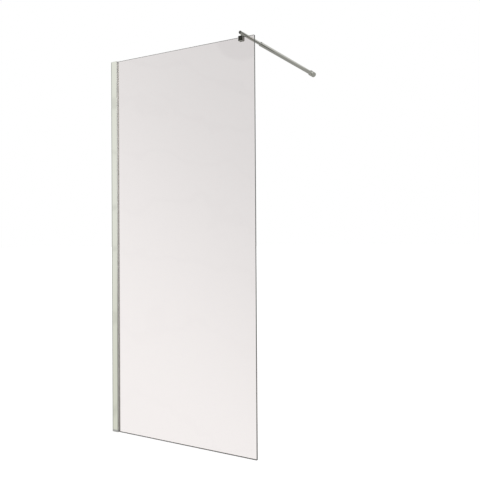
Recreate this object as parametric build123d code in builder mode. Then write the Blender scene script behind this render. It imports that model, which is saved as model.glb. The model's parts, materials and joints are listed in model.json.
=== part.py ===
from build123d import *

import os

# Walk-in shower screen: one fixed glass panel in a two-part wall profile, with a telescopic bar
# that runs from a clamp on the glass's top edge to the opposite wall.
# Millimetres. X runs from the wall along the glass, Y from the glass towards the bar's wall,
# Z up. The origin is on the wall, at floor level, in the middle of the glass's thickness.

# Overall size
screen_height = 2000.0
screen_reach = 886.0
bar_reach = 868.0

# Clearances
slide_gap = 0.2
running_gap = 0.05
press_gap = 0.03
thread_gap = 0.05
cover_gap = 0.3

# Glass panel
glass_thickness = 8.0
glass_arris = 0.8
glass_corner = 3.0

# Wall channel, the U that is screwed to the wall
channel_width = 22.4
channel_depth = 25.0
channel_web = 2.0
channel_leg = 1.6
channel_corner = 0.8
wall_hole_radius = 2.75
wall_hole_count = 4
wall_hole_inset = 100.0

# How far the glass profile can be pushed towards the wall, along the wall channel
adjust_in = 5.0

# Glass profile, which slides over the wall channel and holds the glass
profile_back = 7.0
profile_front = 39.0
profile_flange = 1.6
pocket_wall = 1.6
pocket_web = 1.6
glass_grip = 26.0
nose_radius = 3.0
slot_spare = 1.0

# Rubber wedges, edge packers and end pieces of the profile
gasket_depth = 11.0
gasket_lip = 0.8
gasket_round = 1.2
packer_thickness = 2.4
packer_width = 10.0
packer_length = 60.0
packer_count = 3
packer_inset = 150.0
cap_thickness = 1.6
cap_plug_depth = 10.0
cap_edge_round = 0.6
shoe_height = 12.0

# Screws that lock the profile on the channel, and their covers
lock_screw_count = 3
lock_screw_inset = 300.0
lock_screw_x = 14.0
lock_screw_radius = 2.0
lock_head_radius = 4.0
lock_head_height = 2.6
lock_head_round = 1.2
lock_socket_width = 2.5
lock_socket_depth = 1.6
cover_wall = 0.9
cover_round = 2.0

# Clamp on the glass's top edge
clamp_from_edge = 72.5
clamp_width = 25.0
clamp_front_wall = 4.5
clamp_rear_wall = 4.5
clamp_roof = 5.0
clamp_grip = 19.0
clamp_round = 0.8
liner_thickness = 1.0
plate_thickness = 1.8
plate_height = 16.0
clamp_screw_spacing = 12.0
clamp_screw_radius = 2.5
clamp_screw_recess = 0.5
clamp_socket_width = 2.5
clamp_socket_depth = 2.0

# Stud that the bar swivels on
stud_thread_radius = 3.0
stud_flange_radius = 5.5
stud_flange_height = 1.2
stud_neck_radius = 4.0
stud_pin_radius = 2.97
stud_groove_depth = 0.67
stud_groove_height = 3.2
stud_pin_above_axis = 5.0
stud_tip_chamfer = 0.6
bar_above_clamp = 15.0
washer_thickness = 0.95
washer_below_axis = 5.0

# Inner rod of the bar and its two end pieces
rod_radius = 8.0
rod_wall = 1.2
rod_overhang = 12.0
rod_length = 570.0
end_flange = 2.0
end_plug_past_stud = 14.0
end_flange_round = 0.6
bar_neck_gap = 0.3
retaining_screw_radius = 2.5
retaining_dog_radius = 1.3
retaining_dog_length = 1.0
retaining_dog_gap = 0.15
retaining_recess = 0.6
retaining_socket_width = 2.5
retaining_socket_depth = 2.5
tail_plug_length = 12.0
tail_flange_length = 8.0
tail_chamfer = 1.0
tail_bore_radius = 4.0

# Outer tube, guide bush and locking collar
tube_radius = 11.0
tube_wall = 1.2
tube_start = 197.0
bush_length = 20.0
collar_front = 3.0
collar_spigot = 12.0
collar_round = 0.4
small_screw_radius = 2.0
small_screw_recess = 0.3
small_socket_width = 2.0
small_socket_depth = 1.6

# Cup and base at the bar's wall
cup_radius = 15.5
cup_length = 46.0
cup_front_round = 0.8
cup_rear_round = 0.4
base_radius = 13.0
base_thickness = 10.0
base_hole_radius = 2.75
base_sink_radius = 5.4
tube_to_base = 0.5
cup_tube_screw_from_front = 14.0

# Places worked out from the sizes above
glass_half = glass_thickness / 2
channel_half = channel_width / 2
leg_inner = channel_half - channel_leg
slot_outer = channel_half + slide_gap
profile_half = slot_outer + profile_flange
pocket_outer = leg_inner - slide_gap
pocket_half = pocket_outer - pocket_wall
slot_end = channel_depth + adjust_in + slot_spare
glass_edge = profile_front - glass_grip
pocket_floor = glass_edge - packer_thickness
pocket_back = pocket_floor - pocket_web
gasket_start = profile_front - gasket_depth
channel_top = screen_height - cover_gap
liner_half = glass_half + liner_thickness
clamp_front = -liner_half - clamp_front_wall
slot_rear = liner_half + plate_thickness + slide_gap
clamp_rear = slot_rear + clamp_rear_wall
clamp_x = screen_reach - clamp_from_edge
clamp_bottom = screen_height - clamp_grip
slot_top = screen_height + liner_thickness
clamp_top = slot_top + clamp_roof
bar_z = clamp_top + bar_above_clamp
washer_seat = bar_z - washer_below_axis
neck_top = washer_seat - running_gap - washer_thickness
rod_start = end_flange - rod_overhang
rod_end = rod_start + rod_length
rod_bore = rod_radius - rod_wall
tube_bore = tube_radius - tube_wall
collar_start = tube_start - collar_front
collar_screw_y = tube_start + collar_spigot / 2
bush_start = tube_start + collar_spigot
cup_start = bar_reach - cup_length
base_start = bar_reach - base_thickness
tube_end = base_start - tube_to_base
cup_tube_screw_y = cup_start + cup_tube_screw_from_front
cup_base_screw_y = bar_reach - base_thickness / 2

os.makedirs("parts", exist_ok=True)


def spread(inset, count):
    """Heights spaced evenly up the screen, the first and the last this far from its ends."""
    step = (screen_height - 2 * inset) / (count - 1)
    return [inset + number * step for number in range(count)]


def across(y):
    """Plane square to the bar at this Y, centred on the bar's axis and facing +Y."""
    return Plane(origin=(clamp_x, y, bar_z), x_dir=(1, 0, 0), z_dir=(0, 1, 0))


def facing_y(x, y, z):
    """Plane at this point facing +Y, for screws that go in from the shower side."""
    return Plane(origin=(x, y, z), x_dir=(1, 0, 0), z_dir=(0, 1, 0))


def below_bar(y, radius):
    """Plane this far under the bar's axis, facing down, for screws that go up into the bar."""
    return Plane(origin=(clamp_x, y, bar_z - radius), x_dir=(1, 0, 0), z_dir=(0, 0, -1))


def draw_box(x_low, x_high, y_low, y_high, mode=Mode.ADD):
    """Rectangle between two corners in the active sketch."""
    with Locations(((x_low + x_high) / 2, (y_low + y_high) / 2)):
        Rectangle(x_high - x_low, y_high - y_low, mode=mode)


def draw_profile(section):
    """Glass profile's outer shape: two flanges, the rounded nose and the slots for the channel."""
    draw_box(profile_back, profile_front, -profile_half, profile_half)
    fillet(section.vertices().group_by(Axis.X)[-1], nose_radius)
    draw_box(profile_back, pocket_back, -slot_outer, slot_outer, Mode.SUBTRACT)
    for side in (-1, 1):
        with Locations(((pocket_back + slot_end) / 2, side * (pocket_outer + slot_outer) / 2)):
            Rectangle(slot_end - pocket_back, slot_outer - pocket_outer, mode=Mode.SUBTRACT)


# Wall channel: a U with holes for the wall screws and open notches in its rear leg,
# so that the locking screws keep clear of it over the whole adjustment
wall_hole_heights = spread(wall_hole_inset, wall_hole_count)
lock_screw_heights = spread(lock_screw_inset, lock_screw_count)
notch_width = 2 * (lock_screw_radius + slide_gap)
notch_start = lock_screw_x - adjust_in - notch_width / 2
with BuildPart() as wall_channel:
    with BuildSketch() as channel_section:
        draw_box(0, channel_depth, -channel_half, channel_half)
        fillet(channel_section.vertices().group_by(Axis.X)[0], channel_corner)
        draw_box(channel_web, channel_depth, -leg_inner, leg_inner, Mode.SUBTRACT)
    extrude(amount=channel_top)
    with BuildSketch(Plane.YZ):
        with Locations([(0, height) for height in wall_hole_heights]):
            Circle(wall_hole_radius)
    extrude(amount=channel_web, mode=Mode.SUBTRACT)
    with BuildSketch(Plane.XZ.offset(-leg_inner)):
        notch_length = channel_depth + notch_width - notch_start
        with Locations([(notch_start + notch_length / 2, height) for height in lock_screw_heights]):
            SlotOverall(notch_length, notch_width)
    extrude(amount=-channel_leg, mode=Mode.SUBTRACT)
wall_channel.part.label = "wall_channel"
export_step(wall_channel.part, "parts/wall_channel.step")

# Glass profile: the visible bright cover, an E in section, with a pocket for the glass
with BuildPart() as glass_profile:
    with BuildSketch(Plane.XY.offset(shoe_height)) as profile_section:
        draw_profile(profile_section)
        draw_box(pocket_floor, profile_front, -pocket_half, pocket_half, Mode.SUBTRACT)
    extrude(amount=screen_height - shoe_height)
    for height in lock_screw_heights:
        with BuildSketch(facing_y(lock_screw_x, slot_outer, height)):
            Circle(lock_screw_radius + slide_gap)
        extrude(amount=profile_flange, mode=Mode.SUBTRACT)
        with BuildSketch(facing_y(lock_screw_x, pocket_half, height)):
            Circle(lock_screw_radius + thread_gap)
        extrude(amount=pocket_wall, mode=Mode.SUBTRACT)
glass_profile.part.label = "glass_profile"
export_step(glass_profile.part, "parts/glass_profile.step")

# Bottom shoe: a plastic foot of the same section that closes the pocket round the glass
with BuildPart() as profile_bottom_shoe:
    with BuildSketch() as shoe_section:
        draw_profile(shoe_section)
        draw_box(
            glass_edge - slide_gap,
            profile_front,
            -glass_half - slide_gap,
            glass_half + slide_gap,
            Mode.SUBTRACT,
        )
    extrude(amount=shoe_height)
profile_bottom_shoe.part.label = "profile_bottom_shoe"
export_step(profile_bottom_shoe.part, "parts/profile_bottom_shoe.step")

# Top cap: a thin lid over profile and channel, with a plug on each side of the glass
with BuildPart() as profile_top_cap:
    with BuildSketch(Plane.XY.offset(screen_height)) as cap_outline:
        draw_box(profile_back, profile_front, -profile_half, profile_half)
        fillet(cap_outline.vertices().group_by(Axis.X)[-1], nose_radius)
    extrude(amount=cap_thickness)
    fillet(profile_top_cap.faces().sort_by(Axis.Z)[-1].edges(), cap_edge_round)
    with BuildSketch(Plane.XY.offset(screen_height)):
        for side in (-1, 1):
            plug_middle = (glass_half + pocket_half) / 2
            with Locations(((gasket_start + profile_front) / 2, side * plug_middle)):
                Rectangle(gasket_depth - 2 * slide_gap, pocket_half - glass_half - 2 * slide_gap)
    extrude(amount=-cap_plug_depth)
profile_top_cap.part.label = "profile_top_cap"
export_step(profile_top_cap.part, "parts/profile_top_cap.step")

# Rubber wedges that grip the glass in the pocket's mouth, one on each side
gasket_low = shoe_height
gasket_high = screen_height - cap_plug_depth
with BuildPart() as front_gasket:
    with BuildSketch(Plane.XY.offset(gasket_low)) as front_gasket_section:
        draw_box(gasket_start, profile_front + gasket_lip, -pocket_half, -glass_half)
        fillet(front_gasket_section.vertices().group_by(Axis.X)[-1], gasket_round)
    extrude(amount=gasket_high - gasket_low)
front_gasket.part.label = "front_gasket"
export_step(front_gasket.part, "parts/front_gasket.step")

with BuildPart() as rear_gasket:
    with BuildSketch(Plane.XY.offset(gasket_low)) as rear_gasket_section:
        draw_box(gasket_start, profile_front + gasket_lip, glass_half, pocket_half)
        fillet(rear_gasket_section.vertices().group_by(Axis.X)[-1], gasket_round)
    extrude(amount=gasket_high - gasket_low)
rear_gasket.part.label = "rear_gasket"
export_step(rear_gasket.part, "parts/rear_gasket.step")

# Plastic packers between the pocket's floor and the glass's hidden edge
with BuildPart() as edge_packers:
    for height in spread(packer_inset, packer_count):
        with BuildSketch(Plane.XY.offset(height - packer_length / 2)):
            draw_box(pocket_floor, glass_edge, -packer_width / 2, packer_width / 2)
        extrude(amount=packer_length)
edge_packers.part.label = "edge_packers"
export_step(edge_packers.part, "parts/edge_packers.step")

# Glass panel with ground arrises and two eased corners at its free edge
with BuildPart() as glass_panel:
    with BuildSketch(Plane.XZ.offset(-glass_half)) as glass_outline:
        draw_box(glass_edge, screen_reach, 0, screen_height)
        fillet(glass_outline.vertices().group_by(Axis.X)[-1], glass_corner)
    extrude(amount=glass_thickness)
    chamfer(glass_panel.faces().filter_by(Axis.Y).edges(), glass_arris)
glass_panel.part.label = "glass_panel"
export_step(glass_panel.part, "parts/glass_panel.step")

# Locking screws: pan heads on the shower side, threaded into the pocket's wall
with BuildPart() as profile_locking_screws:
    for height in lock_screw_heights:
        with BuildSketch(facing_y(lock_screw_x, profile_half, height)):
            Circle(lock_head_radius)
        extrude(amount=lock_head_height)
        with BuildSketch(facing_y(lock_screw_x, pocket_half, height)):
            Circle(lock_screw_radius)
        extrude(amount=profile_half - pocket_half)
    head_faces = profile_locking_screws.faces().filter_by(Axis.Y).group_by(Axis.Y)[-1]
    fillet(head_faces.edges(), lock_head_round)
    for height in lock_screw_heights:
        with BuildSketch(facing_y(lock_screw_x, profile_half + lock_head_height, height)):
            RegularPolygon(lock_socket_width / 2, 6, major_radius=False)
        extrude(amount=-lock_socket_depth, mode=Mode.SUBTRACT)
profile_locking_screws.part.label = "profile_locking_screws"
export_step(profile_locking_screws.part, "parts/profile_locking_screws.step")

# Snap-on covers over the locking screws
cover_bore_radius = lock_head_radius + cover_gap
cover_bore_height = lock_head_height + cover_gap
with BuildPart() as screw_covers:
    for height in lock_screw_heights:
        with BuildSketch(facing_y(lock_screw_x, profile_half, height)):
            Circle(cover_bore_radius + cover_wall)
        extrude(amount=cover_bore_height + cover_wall)
    cover_tops = screw_covers.faces().filter_by(Axis.Y).group_by(Axis.Y)[-1]
    fillet(cover_tops.edges(), cover_round)
    for height in lock_screw_heights:
        with BuildSketch(facing_y(lock_screw_x, profile_half, height)):
            Circle(cover_bore_radius)
        extrude(amount=cover_bore_height, mode=Mode.SUBTRACT)
screw_covers.part.label = "screw_covers"
export_step(screw_covers.part, "parts/screw_covers.step")

# Clamp body: a block slotted from below that sits over the glass's top edge
clamp_screw_xs = [clamp_x + side * clamp_screw_spacing / 2 for side in (-1, 1)]
clamp_screw_z = (clamp_bottom + screen_height) / 2
with BuildPart() as clamp_body:
    with BuildSketch(Plane.XY.offset(clamp_bottom)):
        draw_box(clamp_x - clamp_width / 2, clamp_x + clamp_width / 2, clamp_front, clamp_rear)
    extrude(amount=clamp_top - clamp_bottom)
    fillet(clamp_body.edges(), clamp_round)
    with BuildSketch(Plane.XY.offset(clamp_bottom)):
        draw_box(clamp_x - clamp_width, clamp_x + clamp_width, -liner_half, slot_rear)
    extrude(amount=slot_top - clamp_bottom, mode=Mode.SUBTRACT)
    with BuildSketch(Plane.XY.offset(slot_top)):
        with Locations((clamp_x, 0)):
            Circle(stud_thread_radius + thread_gap)
    extrude(amount=clamp_roof, mode=Mode.SUBTRACT)
    for screw_x in clamp_screw_xs:
        with BuildSketch(facing_y(screw_x, slot_rear, clamp_screw_z)):
            Circle(clamp_screw_radius + thread_gap)
        extrude(amount=clamp_rear_wall, mode=Mode.SUBTRACT)
clamp_body.part.label = "clamp_body"
export_step(clamp_body.part, "parts/clamp_body.step")

# Soft liner between clamp and glass, folded over the top edge
with BuildPart() as clamp_liner:
    with BuildSketch(Plane.YZ.offset(clamp_x - clamp_width / 2 + clamp_round)) as liner_section:
        draw_box(-liner_half, liner_half, clamp_bottom + clamp_round, slot_top)
        draw_box(-glass_half, glass_half, clamp_bottom, screen_height, Mode.SUBTRACT)
    extrude(amount=clamp_width - 2 * clamp_round)
clamp_liner.part.label = "clamp_liner"
export_step(clamp_liner.part, "parts/clamp_liner.step")

# Steel plate that spreads the clamp screws' push over the liner
with BuildPart() as clamp_pressure_plate:
    with BuildSketch(Plane.YZ.offset(clamp_x - clamp_width / 2 + clamp_round)):
        plate_low = clamp_screw_z - plate_height / 2
        draw_box(liner_half, liner_half + plate_thickness, plate_low, plate_low + plate_height)
    extrude(amount=clamp_width - 2 * clamp_round)
clamp_pressure_plate.part.label = "clamp_pressure_plate"
export_step(clamp_pressure_plate.part, "parts/clamp_pressure_plate.step")

# Socket screws in the clamp's rear wall, their tips on the plate
with BuildPart() as clamp_screws:
    for screw_x in clamp_screw_xs:
        with BuildSketch(facing_y(screw_x, liner_half + plate_thickness, clamp_screw_z)):
            Circle(clamp_screw_radius)
        extrude(amount=slide_gap + clamp_rear_wall - clamp_screw_recess)
        with BuildSketch(facing_y(screw_x, clamp_rear - clamp_screw_recess, clamp_screw_z)):
            RegularPolygon(clamp_socket_width / 2, 6, major_radius=False)
        extrude(amount=-clamp_socket_depth, mode=Mode.SUBTRACT)
clamp_screws.part.label = "clamp_screws"
export_step(clamp_screws.part, "parts/clamp_screws.step")

# Swivel stud: threaded into the clamp, with a flange, a neck and a grooved pin inside the rod
groove_radius = stud_pin_radius - stud_groove_depth
with BuildPart() as swivel_stud:
    with BuildSketch(Plane.XZ):
        with BuildLine():
            stud_outline = [
                (0, slot_top + running_gap),
                (stud_thread_radius, slot_top + running_gap),
                (stud_thread_radius, clamp_top),
                (stud_flange_radius, clamp_top),
                (stud_flange_radius, clamp_top + stud_flange_height),
                (stud_neck_radius, clamp_top + stud_flange_height),
                (stud_neck_radius, neck_top),
                (stud_pin_radius, neck_top),
                (stud_pin_radius, bar_z - stud_groove_height / 2),
                (groove_radius, bar_z - stud_groove_height / 2),
                (groove_radius, bar_z + stud_groove_height / 2),
                (stud_pin_radius, bar_z + stud_groove_height / 2),
                (stud_pin_radius, bar_z + stud_pin_above_axis - stud_tip_chamfer),
                (stud_pin_radius - stud_tip_chamfer, bar_z + stud_pin_above_axis),
                (0, bar_z + stud_pin_above_axis),
            ]
            Polyline([(clamp_x + radius, height) for radius, height in stud_outline], close=True)
        make_face()
    revolve(axis=Axis((clamp_x, 0, 0), (0, 0, 1)))
swivel_stud.part.label = "swivel_stud"
export_step(swivel_stud.part, "parts/swivel_stud.step")

# Plastic washer on the stud's neck, which carries the turning rod
with BuildPart() as swivel_washer:
    with BuildSketch(Plane.XY.offset(neck_top)):
        with Locations((clamp_x, 0)):
            Circle(stud_neck_radius)
            Circle(stud_pin_radius + running_gap, mode=Mode.SUBTRACT)
    extrude(amount=washer_thickness)
swivel_washer.part.label = "swivel_washer"
export_step(swivel_washer.part, "parts/swivel_washer.step")

# Inner rod: a thin tube with a hole under its near end for the stud's neck
with BuildPart() as inner_rod:
    with BuildSketch(across(rod_start)):
        Circle(rod_radius)
        Circle(rod_bore, mode=Mode.SUBTRACT)
    extrude(amount=rod_length)
    with BuildSketch(Plane.XY.offset(bar_z - rod_radius)):
        with Locations((clamp_x, 0)):
            Circle(stud_neck_radius + bar_neck_gap)
    extrude(amount=rod_radius, mode=Mode.SUBTRACT)
inner_rod.part.label = "inner_rod"
export_step(inner_rod.part, "parts/inner_rod.step")

# End fitting: a plug in the rod's near end, bored from below for the swivel stud
with BuildPart() as rod_end_fitting:
    with BuildSketch(across(rod_start - end_flange)):
        Circle(rod_radius)
    extrude(amount=end_flange)
    fillet(rod_end_fitting.faces().sort_by(Axis.Y)[0].edges(), end_flange_round)
    with BuildSketch(across(rod_start)):
        Circle(rod_bore - press_gap)
    extrude(amount=end_plug_past_stud - rod_start)
    with BuildSketch(Plane.XY.offset(bar_z - rod_radius)):
        with Locations((clamp_x, 0)):
            Circle(stud_neck_radius + bar_neck_gap)
    extrude(amount=rod_radius - washer_below_axis, mode=Mode.SUBTRACT)
    with BuildSketch(Plane.XY.offset(washer_seat)):
        with Locations((clamp_x, 0)):
            Circle(stud_pin_radius + running_gap)
    extrude(amount=washer_below_axis + stud_pin_above_axis + cover_gap, mode=Mode.SUBTRACT)
    with BuildSketch(across(rod_start - end_flange)):
        Circle(retaining_screw_radius + thread_gap)
    extrude(amount=rod_overhang, mode=Mode.SUBTRACT)
rod_end_fitting.part.label = "rod_end_fitting"
export_step(rod_end_fitting.part, "parts/rod_end_fitting.step")

# Dog-point screw in the rod's end, its tip in the stud's groove so that the rod can't lift off
dog_tip = -groove_radius - retaining_dog_gap
with BuildPart() as rod_retaining_screw:
    screw_face = rod_start - end_flange + retaining_recess
    with BuildSketch(across(screw_face)):
        Circle(retaining_screw_radius)
    extrude(amount=dog_tip - retaining_dog_length - screw_face)
    with BuildSketch(across(dog_tip - retaining_dog_length)):
        Circle(retaining_dog_radius)
    extrude(amount=retaining_dog_length)
    with BuildSketch(across(screw_face)):
        RegularPolygon(retaining_socket_width / 2, 6, major_radius=False)
    extrude(amount=retaining_socket_depth, mode=Mode.SUBTRACT)
rod_retaining_screw.part.label = "rod_retaining_screw"
export_step(rod_retaining_screw.part, "parts/rod_retaining_screw.step")

# Tail guide: a plastic plug in the rod's far end, its flange running in the outer tube
with BuildPart() as rod_tail_guide:
    with BuildSketch(across(rod_end - tail_plug_length)):
        Circle(rod_bore - press_gap)
    extrude(amount=tail_plug_length)
    with BuildSketch(across(rod_end)):
        Circle(tube_bore - running_gap)
    extrude(amount=tail_flange_length)
    chamfer(rod_tail_guide.faces().sort_by(Axis.Y)[-1].edges(), tail_chamfer)
    with BuildSketch(across(rod_end - tail_plug_length)):
        Circle(tail_bore_radius)
    extrude(amount=tail_plug_length + tail_flange_length, mode=Mode.SUBTRACT)
rod_tail_guide.part.label = "rod_tail_guide"
export_step(rod_tail_guide.part, "parts/rod_tail_guide.step")

# Outer tube, drilled near its mouth for the collar's screw
with BuildPart() as outer_tube:
    with BuildSketch(across(tube_start)):
        Circle(tube_radius)
        Circle(tube_bore, mode=Mode.SUBTRACT)
    extrude(amount=tube_end - tube_start)
    with BuildSketch(below_bar(collar_screw_y, 0)):
        Circle(small_screw_radius + thread_gap)
    extrude(amount=tube_radius, mode=Mode.SUBTRACT)
outer_tube.part.label = "outer_tube"
export_step(outer_tube.part, "parts/outer_tube.step")

# Guide bush: the plastic sleeve that the rod slides in, behind the collar
with BuildPart() as guide_bush:
    with BuildSketch(across(bush_start)):
        Circle(tube_bore - press_gap)
        Circle(rod_radius + running_gap, mode=Mode.SUBTRACT)
    extrude(amount=bush_length)
guide_bush.part.label = "guide_bush"
export_step(guide_bush.part, "parts/guide_bush.step")

# Locking collar: a ring that closes the outer tube's mouth, with a spigot inside the tube
with BuildPart() as locking_collar:
    with BuildSketch(across(collar_start)):
        Circle(tube_radius)
    extrude(amount=collar_front)
    fillet(locking_collar.faces().sort_by(Axis.Y)[0].edges(), collar_round)
    with BuildSketch(across(tube_start)):
        Circle(tube_bore - press_gap)
    extrude(amount=collar_spigot)
    with BuildSketch(across(collar_start)):
        Circle(rod_radius + cover_gap)
    extrude(amount=collar_front + collar_spigot, mode=Mode.SUBTRACT)
    with BuildSketch(below_bar(collar_screw_y, 0)):
        Circle(small_screw_radius + thread_gap)
    extrude(amount=tube_radius, mode=Mode.SUBTRACT)
locking_collar.part.label = "locking_collar"
export_step(locking_collar.part, "parts/locking_collar.step")


def socket_screw(y, tip_radius, face_radius):
    """Headless screw that points up at the bar from below, with a hexagon socket."""
    with BuildSketch(below_bar(y, tip_radius)) as shank:
        Circle(small_screw_radius)
    extrude(shank.sketch, amount=face_radius - tip_radius)
    with BuildSketch(below_bar(y, face_radius)) as socket:
        RegularPolygon(small_socket_width / 2, 6, major_radius=False)
    extrude(socket.sketch, amount=-small_socket_depth, mode=Mode.SUBTRACT)


# Collar screw, flush with the tube, which locks the rod
with BuildPart() as collar_screw:
    socket_screw(collar_screw_y, rod_radius + running_gap, tube_radius - running_gap)
collar_screw.part.label = "collar_screw"
export_step(collar_screw.part, "parts/collar_screw.step")

# Wall cup: the sleeve that joins the outer tube to its base on the wall
with BuildPart() as wall_cup:
    with BuildSketch(across(cup_start)):
        Circle(cup_radius)
    extrude(amount=cup_length)
    fillet(wall_cup.faces().sort_by(Axis.Y)[0].edges(), cup_front_round)
    fillet(wall_cup.faces().sort_by(Axis.Y)[-1].edges(), cup_rear_round)
    with BuildSketch(across(cup_start)):
        Circle(tube_radius + press_gap)
    extrude(amount=cup_length, mode=Mode.SUBTRACT)
    with BuildSketch(across(base_start)):
        Circle(base_radius + running_gap)
    extrude(amount=base_thickness, mode=Mode.SUBTRACT)
    for screw_y in (cup_tube_screw_y, cup_base_screw_y):
        with BuildSketch(below_bar(screw_y, 0)):
            Circle(small_screw_radius + thread_gap)
        extrude(amount=cup_radius, mode=Mode.SUBTRACT)
wall_cup.part.label = "wall_cup"
export_step(wall_cup.part, "parts/wall_cup.step")

# Cup screws: one holds the tube, the other holds the base
with BuildPart() as cup_screws:
    socket_screw(cup_tube_screw_y, tube_radius + press_gap, cup_radius - small_screw_recess)
    socket_screw(cup_base_screw_y, base_radius + press_gap, cup_radius - small_screw_recess)
cup_screws.part.label = "cup_screws"
export_step(cup_screws.part, "parts/cup_screws.step")

# Wall base: the disc that is screwed to the wall, countersunk for one screw
with BuildPart() as bar_wall_base:
    with BuildSketch(across(base_start)):
        Circle(base_radius)
    extrude(amount=base_thickness)
    base_face = Plane(origin=(clamp_x, base_start, bar_z), x_dir=(1, 0, 0), z_dir=(0, -1, 0))
    with Locations(base_face.location):
        CounterSinkHole(base_hole_radius, base_sink_radius, counter_sink_angle=90)
bar_wall_base.part.label = "bar_wall_base"
export_step(bar_wall_base.part, "parts/bar_wall_base.step")
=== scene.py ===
import json
from math import atan2, cos, pi, radians, sin

import bpy
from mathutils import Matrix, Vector


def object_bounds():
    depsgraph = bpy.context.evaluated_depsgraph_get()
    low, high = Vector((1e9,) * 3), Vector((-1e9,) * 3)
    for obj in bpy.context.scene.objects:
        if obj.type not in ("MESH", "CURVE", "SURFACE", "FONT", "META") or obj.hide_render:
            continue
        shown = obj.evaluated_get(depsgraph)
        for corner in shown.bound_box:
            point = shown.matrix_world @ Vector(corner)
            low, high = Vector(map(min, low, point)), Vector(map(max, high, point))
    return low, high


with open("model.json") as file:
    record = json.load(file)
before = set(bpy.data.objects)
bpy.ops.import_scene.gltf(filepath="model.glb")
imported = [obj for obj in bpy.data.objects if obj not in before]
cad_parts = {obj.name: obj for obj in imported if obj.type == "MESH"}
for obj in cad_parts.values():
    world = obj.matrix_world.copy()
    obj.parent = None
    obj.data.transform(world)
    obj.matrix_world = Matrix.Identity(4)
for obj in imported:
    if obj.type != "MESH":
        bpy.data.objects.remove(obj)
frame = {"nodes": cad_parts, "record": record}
cad_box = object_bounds()
middle = (cad_box[0] + cad_box[1]) / 2

# Walk-in shower screen in a soft studio.
# Metres, in the part's own frame: X along the glass from its wall, Y towards the bar's wall, Z up.
# The solids keep their shapes; this script gives each its finish, and adds stage, light and camera.
# Angles are in degrees, azimuths from X towards Y. A rise is how far a direction points upwards.

# Camera: where it stood, how it was turned, and how far its axis lay above the picture's middle
picture_pixels = 480
focal_pixels = 599.0
axis_above_middle_pixels = 9.65
camera_place = (2.239, -2.470, 1.050)
camera_pitch = 0.56
camera_roll = 0.36
camera_yaw = 30.24
sensor_width_mm = 36.0

# Light: even fill from all round, and one broad lamp whose softness is its angle
fill_level = 0.55
key_place = (2.6, -3.4, 5.0)
key_strength = 1.7
key_softness = 26.0

# What clear glass shows behind it: white, falling off softly up and to the right
falloff_axis = (0.50, 0.55, 0.669)
falloff_start = -0.10
falloff_end = 0.46
falloff_white = (0.996, 0.988, 0.994)
falloff_grey = (0.750, 0.748, 0.756)

# The room that metal mirrors: grey, and darker below
room_grey = (0.64, 0.64, 0.60)
room_floor_grey = (0.33, 0.33, 0.305)
room_floor_rise = -0.12
room_rise = 0.30

# Its wall of pale veined stone, shown in full near one azimuth and fading to the sides
stone_azimuth = 232.0
stone_full = 25.0
stone_fade = 42.0
stone_top = (0.85, 0.86, 0.805)
stone_foot = (0.75, 0.76, 0.68)
stone_top_rise = 0.10
stone_foot_rise = -0.26
vein_shade = (0.88, 0.88, 0.88)
vein_scale = 7.0
vein_distortion = 6.0
vein_detail = 3.0
vein_detail_scale = 1.5
vein_width = 0.08

# The same stone on the side wall, from about eye level up
side_wall_azimuth = 285.0
side_wall_full = 65.0
side_wall_fade = 92.0
side_wall_low_rise = -0.18
side_wall_high_rise = 0.02

# Flags: cards with soft edges that the clamp and the bar mirror, unseen by the camera
clamp_flag_centre = (-0.61, -2.48, 2.96)
clamp_flag_size = (0.55, 0.5)
clamp_side_flag_centre = (0.93, 0.0, 2.06)
clamp_side_flag_size = (0.5, 0.12)
clamp_side_flag_faces = (0.0, 0.0, 2.06)
rod_flag_centre = (1.07, 0.59, 1.85)
rod_flag_size = (0.36, 0.21)
tube_flag_centre = (0.9, 1.6, 1.93)
tube_flag_size = (0.9, 1.1)
flag_black = (0.035, 0.035, 0.03)
flag_grey = (0.36, 0.36, 0.33)
flag_edge = 0.2

# Floor: lifted to white where the camera sees it lit
floor_radius = 60.0
floor_segments = 96
floor_colour = (0.86, 0.86, 0.86)
floor_lift = 0.34

white = (1.0, 1.0, 1.0)


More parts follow.
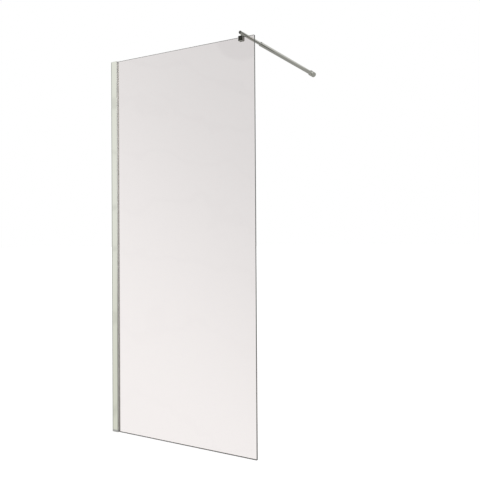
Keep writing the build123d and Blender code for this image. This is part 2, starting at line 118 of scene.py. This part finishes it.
class NodeTree:
    """A node tree under construction, with short ways to add what materials and world share."""

    def __init__(self, owner):
        owner.use_nodes = True
        self.nodes = owner.node_tree.nodes
        self.links = owner.node_tree.links

    def fill(self, node, inputs):
        """Gives each named socket another node's output, a colour or a plain value."""
        for name, value in inputs.items():
            socket = node.inputs[name]
            if isinstance(value, bpy.types.NodeSocket):
                self.links.new(value, socket)
            elif socket.type == "RGBA":
                socket.default_value = (*value, 1.0)
            else:
                socket.default_value = value

    def add(self, kind, inputs):
        """A new node with these inputs."""
        node = self.nodes.new(kind)
        self.fill(node, inputs)
        return node

    def source(self, kind, output):
        """One output of a new node that needs no inputs."""
        return self.nodes.new(kind).outputs[output]

    def math(self, operation, *values):
        """One or two values taken through this operation."""
        node = self.nodes.new("ShaderNodeMath")
        node.operation = operation
        self.fill(node, dict(enumerate(values)))
        return node.outputs["Value"]

    def dot(self, first, second):
        """The dot product of two vectors."""
        node = self.nodes.new("ShaderNodeVectorMath")
        node.operation = "DOT_PRODUCT"
        self.fill(node, {0: first, 1: second})
        return node.outputs["Value"]

    def ramp(self, value, start, end, low=0.0, high=1.0, curve="LINEAR"):
        """From low, where the value is start, to high, where it is end."""
        node = self.nodes.new("ShaderNodeMapRange")
        node.interpolation_type = curve
        self.fill(node, {"Value": value, "From Min": start, "From Max": end})
        self.fill(node, {"To Min": low, "To Max": high})
        return node.outputs["Result"]

    def mix(self, amount, first, second, kind="MIX"):
        """A colour between first and second by amount."""
        node = self.nodes.new("ShaderNodeMix")
        node.data_type = "RGBA"
        node.blend_type = kind
        self.fill(node, {"Factor": amount, "A": first, "B": second})
        return node.outputs["Result"]

    def join(self, amount, first, second):
        """A shader between first and second by amount."""
        inputs = {"Fac": amount, 1: first, 2: second}
        return self.add("ShaderNodeMixShader", inputs).outputs["Shader"]


class Material(NodeTree):
    """A material under construction."""

    def __init__(self, name):
        self.material = bpy.data.materials.new(name)
        super().__init__(self.material)

    def drop_usual_shader(self):
        """Removes the shader that a new material starts with."""
        self.nodes.remove(self.nodes["Principled BSDF"])

    def show(self, shader):
        """Makes this the shader that the material shows."""
        self.links.new(shader, self.nodes["Material Output"].inputs["Surface"])


class Surface(Material):
    """A material on the usual shader, with short ways to add what the finishes share."""

    def __init__(self, name, colour, metal=0.0, roughness=0.5):
        super().__init__(name)
        self.shader = self.nodes["Principled BSDF"]
        self.place = self.source("ShaderNodeTexCoord", "Object")
        self.fill(self.shader, {"Base Color": colour, "Metallic": metal, "Roughness": roughness})

    def set(self, socket, value):
        """Gives the shader's socket another node's output or a plain value."""
        self.fill(self.shader, {socket: value})

    def noise(self, per_metre, stretch=(1.0, 1.0, 1.0), detail=3.0):
        """Even noise from 0 to 1: so many lumps a metre, longer where the stretch is below 1."""
        mapping = self.add("ShaderNodeMapping", {"Vector": self.place, "Scale": stretch})
        inputs = {"Vector": mapping.outputs["Vector"], "Scale": per_metre, "Detail": detail}
        return self.add("ShaderNodeTexNoise", inputs).outputs["Fac"]

    def vary(self, noise, low, high):
        """From low to high over the part of its range where a noise mostly lies."""
        noise_low = 0.3
        noise_high = 0.7
        return self.ramp(noise, noise_low, noise_high, low, high)

    def along_piece(self, axis):
        """How far along the whole piece a point lies on this axis, from 0 to 1."""
        share = self.source("ShaderNodeTexCoord", "Generated")
        return self.add("ShaderNodeSeparateXYZ", {"Vector": share}).outputs[axis]

    def worn_edge(self, radius):
        """About 1 on edges sharper than this radius and 0 on flat faces."""
        edge_match = 0.75
        flat_match = 0.99
        rounded = self.add("ShaderNodeBevel", {"Radius": radius}).outputs["Normal"]
        match = self.dot(rounded, self.source("ShaderNodeNewGeometry", "Normal"))
        return self.ramp(match, edge_match, flat_match, low=1.0, high=0.0)

    def bump(self, height, depth):
        """Relief of this depth in metres from a height between 0 and 1."""
        node = self.add("ShaderNodeBump", {"Height": height, "Distance": depth})
        self.set("Normal", node.outputs["Normal"])


def shade(colour, factor):
    """The colour made lighter or darker."""
    return tuple(min(1.0, channel * factor) for channel in colour)


def bright_profile():
    """Polished bright-anodised aluminium: long faint die lines and a little haze."""
    colour = (0.87, 0.875, 0.84)
    hazed = shade(colour, 0.97)
    made = Surface("polished_profile", colour, metal=1.0)
    haze = made.noise(per_metre=9.0, stretch=(1.0, 1.0, 0.35))
    die_lines = made.noise(per_metre=1400.0, stretch=(1.0, 1.0, 0.004))
    made.set("Base Color", made.mix(haze, colour, hazed))
    made.set("Roughness", made.vary(haze, low=0.02, high=0.05))
    made.bump(die_lines, depth=0.000002)
    return made.material


def inner_channel_metal():
    """Satin anodised aluminium with extrusion lines."""
    colour = (0.52, 0.53, 0.52)
    scored = shade(colour, 0.9)
    made = Surface("satin_channel", colour, metal=1.0)
    lines = made.noise(per_metre=2200.0, stretch=(1.0, 1.0, 0.003))
    made.set("Base Color", made.mix(lines, scored, colour))
    made.set("Roughness", made.vary(lines, low=0.24, high=0.36))
    made.bump(lines, depth=0.00001)
    return made.material


def chrome():
    """Chrome plate with faint dried-water haze and finger marks."""
    colour = (0.80, 0.80, 0.79)
    hazed = shade(colour, 0.95)
    made = Surface("chrome_plate", colour, metal=1.0)
    haze = made.noise(per_metre=60.0, detail=5.0)
    made.set("Base Color", made.mix(haze, colour, hazed))
    made.set("Roughness", made.vary(haze, low=0.04, high=0.11))
    made.bump(made.noise(per_metre=700.0), depth=0.000003)
    return made.material


def ground_edge(made):
    """1 on the glass's edges and 0 on its two faces, whose normals lie along Y."""
    edge_lean = 0.85
    face_lean = 0.95
    normal = made.source("ShaderNodeNewGeometry", "True Normal")
    lean = made.add("ShaderNodeSeparateXYZ", {"Vector": normal}).outputs["Y"]
    return made.ramp(made.math("ABSOLUTE", lean), edge_lean, face_lean, low=1.0, high=0.0)


def dark_line(made):
    """Near 1 on a line of painted shade along the glass's foot, and on the lower part of its free
    edge, which painted shade darkens towards the foot.
    Sizes are shares of the glass's height and width."""
    foot_shade_height = 0.0014
    foot_shade_end = 1.3 * foot_shade_height
    rim_width = 0.004
    rim_full = 0.5 * rim_width
    rim_height = 0.8
    rim_darkness = 0.8
    height = made.along_piece("Z")
    width = made.along_piece("X")
    # Painted shade: a dark line along the foot, and the free edge darker towards the foot.
    foot_shade = made.ramp(height, foot_shade_height, foot_shade_end, low=1.0, high=0.0)
    rim = made.ramp(width, 1.0 - rim_width, 1.0 - rim_full, low=0.0, high=rim_darkness)
    lower = made.ramp(height, 0.0, rim_height, low=1.0, high=0.0)
    return made.math("MAXIMUM", foot_shade, made.math("MULTIPLY", rim, lower))


def clear_glass():
    """Clear toughened glass with matt ground edges, painted shade along its foot and on its lower
    free edge, and a pale shadow.
    """
    colour = (0.93, 0.895, 0.885)
    shadow_colour = shade(colour, 0.95)
    refractive_index = 1.5
    # The ground edges are grey-green, and painted shade darkens them further for the light they
    # trap.
    edge_colour = (0.12, 0.13, 0.12)
    edge_roughness = 0.22
    edge_clearness = 0.35
    # The colour of the painted shade along the foot and the lower free edge.
    dark_colour = (0.04, 0.04, 0.04)
    dark_clearness = 0.1
    made = Surface("clear_toughened_glass", colour, roughness=0.0)
    made.set("IOR", refractive_index)
    edge = ground_edge(made)
    dark = dark_line(made)
    made.set("Base Color", made.mix(dark, made.mix(edge, colour, edge_colour), dark_colour))
    made.set("Roughness", made.ramp(edge, 0.0, 1.0, low=0.0, high=edge_roughness))
    through_edge = made.ramp(edge, 0.0, 1.0, low=1.0, high=edge_clearness)
    through_dark = made.ramp(dark, 0.0, 1.0, low=1.0, high=dark_clearness)
    made.set("Transmission Weight", made.math("MULTIPLY", through_edge, through_dark))
    made.bump(made.noise(per_metre=3.0, detail=1.0), depth=0.00004)
    shadow_ray = made.source("ShaderNodeLightPath", "Is Shadow Ray")
    clear = made.add("ShaderNodeBsdfTransparent", {"Color": shadow_colour}).outputs["BSDF"]
    made.show(made.join(shadow_ray, made.shader.outputs["BSDF"], clear))
    return made.material


def clear_rubber():
    """Milky soft rubber with drag marks along its length, and painted shade darkening it towards
    its foot.
    """
    colour = (0.88, 0.88, 0.86)
    rubber_foot_shade = (0.50, 0.50, 0.48)
    rubber_shade_height = 0.6
    mark_shade = 0.85
    made = Surface("milky_rubber", colour)
    drag = made.noise(per_metre=900.0, stretch=(1.0, 1.0, 0.02))
    # Painted shade: the rubber darkens towards its foot.
    height = made.ramp(made.along_piece("Z"), 0.0, rubber_shade_height)
    plain = made.mix(height, rubber_foot_shade, colour)
    marked = made.mix(height, shade(rubber_foot_shade, mark_shade), shade(colour, mark_shade))
    made.set("Base Color", made.mix(drag, marked, plain))
    made.set("Roughness", made.vary(drag, low=0.38, high=0.55))
    made.bump(drag, depth=0.00003)
    return made.material


def moulded(name, colour, smooth, rough, grain_depth):
    """Moulded plastic: fine grain, and edges rubbed lighter."""
    rubbed = shade(colour, 1.25)
    made = Surface(name, colour)
    grain = made.noise(per_metre=3500.0, detail=2.0)
    edge = made.worn_edge(radius=0.0005)
    made.set("Base Color", made.mix(edge, colour, rubbed))
    made.set("Roughness", made.vary(grain, low=smooth, high=rough))
    made.bump(grain, depth=grain_depth)
    return made.material


def grey_plastic():
    """Fine-grained grey plastic of the profile's foot."""
    colour = (0.36, 0.36, 0.35)
    return moulded("grey_moulding", colour, smooth=0.40, rough=0.55, grain_depth=0.00002)


def white_plastic():
    """Smooth white plastic of packers, washer and guides."""
    colour = (0.84, 0.84, 0.82)
    return moulded("white_moulding", colour, smooth=0.35, rough=0.50, grain_depth=0.00001)


def cover_plastic():
    """Glossy pale plastic of the profile's cap and screw covers."""
    colour = (0.74, 0.74, 0.73)
    return moulded("glossy_moulding", colour, smooth=0.12, rough=0.22, grain_depth=0.000004)


def screw_steel():
    """Plain stainless steel, turned and slightly dull, its edges rubbed bright."""
    colour = (0.58, 0.58, 0.57)
    rubbed = shade(colour, 1.3)
    made = Surface("plain_stainless", colour, metal=1.0)
    grain = made.noise(per_metre=1800.0, detail=4.0)
    edge = made.worn_edge(radius=0.0003)
    made.set("Base Color", made.mix(edge, colour, rubbed))
    made.set("Roughness", made.vary(grain, low=0.22, high=0.38))
    made.bump(grain, depth=0.000008)
    return made.material


def finish_solids():
    """Gives every solid the finish of its slot in the record."""
    finishes = {
        "bright_profile": bright_profile(),
        "inner_channel_metal": inner_channel_metal(),
        "chrome": chrome(),
        "clear_glass": clear_glass(),
        "clear_rubber": clear_rubber(),
        "grey_plastic": grey_plastic(),
        "white_plastic": white_plastic(),
        "cover_plastic": cover_plastic(),
        "screw_steel": screw_steel(),
    }
    for part in frame["record"]["subparts"]:
        node = frame["nodes"][part["node"]]
        node.material_slots[0].material = finishes[part["material_slot"]]


def add_object(name, data, place):
    """Puts a new object into the scene."""
    made = bpy.data.objects.new(name, data)
    made.location = place
    bpy.context.scene.collection.objects.link(made)
    return made


def add_floor():
    """A plain pale floor, white to the camera where it isn't in the object's shadow."""
    made = Material("pale_floor")
    made.drop_usual_shader()
    matt = made.add("ShaderNodeBsdfDiffuse", {"Color": floor_colour}).outputs["BSDF"]
    camera_ray = made.source("ShaderNodeLightPath", "Is Camera Ray")
    strength = made.math("MULTIPLY", camera_ray, floor_lift)
    lift = made.add("ShaderNodeEmission", {"Strength": strength}).outputs["Emission"]
    made.show(made.add("ShaderNodeAddShader", {0: matt, 1: lift}).outputs["Shader"])
    bpy.ops.mesh.primitive_circle_add(
        vertices=floor_segments, radius=floor_radius, fill_type="NGON", location=(0, 0, 0)
    )
    floor = bpy.context.object
    floor.name = "floor"
    floor.data.materials.append(made.material)
    floor.visible_transmission = False
    floor.visible_glossy = False


def flag_cloth(name, colour):
    """A flag's cloth, which shows one even colour and thins out to nothing at the card's edges."""
    made = Material(name)
    made.drop_usual_shader()
    gradient = made.nodes.new("ShaderNodeTexGradient")
    gradient.gradient_type = "SPHERICAL"
    made.fill(gradient, {"Vector": made.source("ShaderNodeTexCoord", "Object")})
    solid = made.ramp(gradient.outputs["Fac"], 0.0, flag_edge, curve="SMOOTHSTEP")
    clear = made.source("ShaderNodeBsdfTransparent", "BSDF")
    glow = made.add("ShaderNodeEmission", {"Color": colour}).outputs["Emission"]
    made.show(made.join(solid, clear, glow))
    return made.material


def flag(name, centre, size, cloth, facing=middle):
    """An upright flag turned to a point, which shows in reflections alone."""
    mesh = bpy.data.meshes.new(name)
    mesh.from_pydata([(-1, 0, -1), (1, 0, -1), (1, 0, 1), (-1, 0, 1)], [], [(0, 1, 2, 3)])
    mesh.materials.append(cloth)
    made = add_object(name, mesh, centre)
    made.scale = (size[0] / 2, 1.0, size[1] / 2)
    away = Vector(centre) - Vector(facing)
    made.rotation_euler.z = atan2(away.y, away.x) - pi / 2
    made.visible_camera = False
    made.visible_diffuse = False
    made.visible_transmission = False
    made.visible_shadow = False
    return made


def add_flags():
    """The flags. The one beside the clamp shows through the glass as well."""
    black = flag_cloth("black_cloth", flag_black)
    grey = flag_cloth("grey_cloth", flag_grey)
    flag("clamp_flag", clamp_flag_centre, clamp_flag_size, black)
    side_flag = flag(
        "clamp_side_flag",
        clamp_side_flag_centre,
        clamp_side_flag_size,
        black,
        facing=clamp_side_flag_faces,
    )
    side_flag.visible_transmission = True
    flag("rod_flag", rod_flag_centre, rod_flag_size, black)
    flag("tube_flag", tube_flag_centre, tube_flag_size, grey)


class Sky(NodeTree):
    """The world under construction, with short ways to colour it by direction."""

    def __init__(self):
        world = bpy.data.worlds.new("studio")
        bpy.context.scene.world = world
        super().__init__(world)
        self.direction = self.source("ShaderNodeTexCoord", "Generated")
        self.height = self.dot(self.direction, (0.0, 0.0, 1.0))

    def soft(self, value, start, end):
        """From 0 at start to 1 at end, softly."""
        return self.ramp(value, start, end, curve="SMOOTHSTEP")

    def sector(self, azimuth, full, fade):
        """1 within full degrees of an azimuth, softly down to 0 at fade degrees."""
        facing = radians(azimuth)
        towards = self.dot(self.direction, (cos(facing), sin(facing), 0.0))
        return self.soft(towards, cos(radians(fade)), cos(radians(full)))

    def veins(self):
        """Thin slanting veins: 0 on a vein and 1 beside it."""
        waves = self.nodes.new("ShaderNodeTexWave")
        waves.bands_direction = "DIAGONAL"
        self.fill(waves, {"Vector": self.direction, "Scale": vein_scale})
        self.fill(waves, {"Distortion": vein_distortion, "Detail": vein_detail})
        self.fill(waves, {"Detail Scale": vein_detail_scale})
        return self.soft(waves.outputs["Fac"], 0.0, vein_width)

    def stone(self):
        """Pale veined stone, lighter above."""
        lightness = self.soft(self.height, stone_foot_rise, stone_top_rise)
        plain = self.mix(lightness, stone_foot, stone_top)
        veined = self.mix(self.veins(), vein_shade, white)
        return self.mix(1.0, plain, veined, "MULTIPLY")

    def room(self):
        """The grey room with its two stone walls."""
        stone = self.stone()
        lightness = self.soft(self.height, room_floor_rise, room_rise)
        grey = self.mix(lightness, room_floor_grey, room_grey)
        side_wall = self.sector(side_wall_azimuth, side_wall_full, side_wall_fade)
        above = self.soft(self.height, side_wall_low_rise, side_wall_high_rise)
        grey = self.mix(above, grey, self.mix(side_wall, grey, stone))
        stone_wall = self.sector(stone_azimuth, stone_full, stone_fade)
        return self.mix(stone_wall, grey, stone)

    def behind_glass(self):
        """White with its soft fall-off."""
        towards = self.dot(self.direction, falloff_axis)
        return self.mix(self.soft(towards, falloff_start, falloff_end), falloff_white, falloff_grey)


def set_world():
    """White behind the object, a soft fall-off through glass, a room in metal, plain fill."""
    sky = Sky()
    even_fill = (fill_level,) * 3
    camera_ray = sky.source("ShaderNodeLightPath", "Is Camera Ray")
    diffuse_ray = sky.source("ShaderNodeLightPath", "Is Diffuse Ray")
    glass_ray = sky.source("ShaderNodeLightPath", "Is Transmission Ray")
    mirrored = sky.soft(sky.source("ShaderNodeLightPath", "Glossy Depth"), 0.0, 1.0)
    shown = sky.mix(glass_ray, even_fill, sky.behind_glass())
    shown = sky.mix(mirrored, shown, sky.room())
    shown = sky.mix(diffuse_ray, shown, even_fill)
    shown = sky.mix(camera_ray, shown, white)
    sky.fill(sky.nodes["Background"], {"Color": shown})


def add_key():
    """One broad soft lamp from the viewer's side. Neither metal nor glass shows it."""
    light = bpy.data.lights.new("key_lamp", "SUN")
    light.energy = key_strength
    light.angle = radians(key_softness)
    lamp = add_object("key_lamp", light, key_place)
    lamp.rotation_euler = (middle - Vector(key_place)).to_track_quat("-Z", "Y").to_euler()
    lamp.visible_glossy = False
    lamp.visible_transmission = False


def add_camera():
    """The photograph's viewpoint."""
    lens = bpy.data.cameras.new("camera")
    lens.sensor_width = sensor_width_mm
    lens.lens = focal_pixels / picture_pixels * sensor_width_mm
    lens.shift_y = -axis_above_middle_pixels / picture_pixels
    camera = add_object("camera", lens, camera_place)
    camera.rotation_euler = (
        radians(90 + camera_pitch),
        radians(camera_roll),
        radians(camera_yaw),
    )
    bpy.context.scene.camera = camera


finish_solids()
add_floor()
add_flags()
set_world()
add_key()
add_camera()
bpy.context.scene.view_settings.view_transform = "Standard"
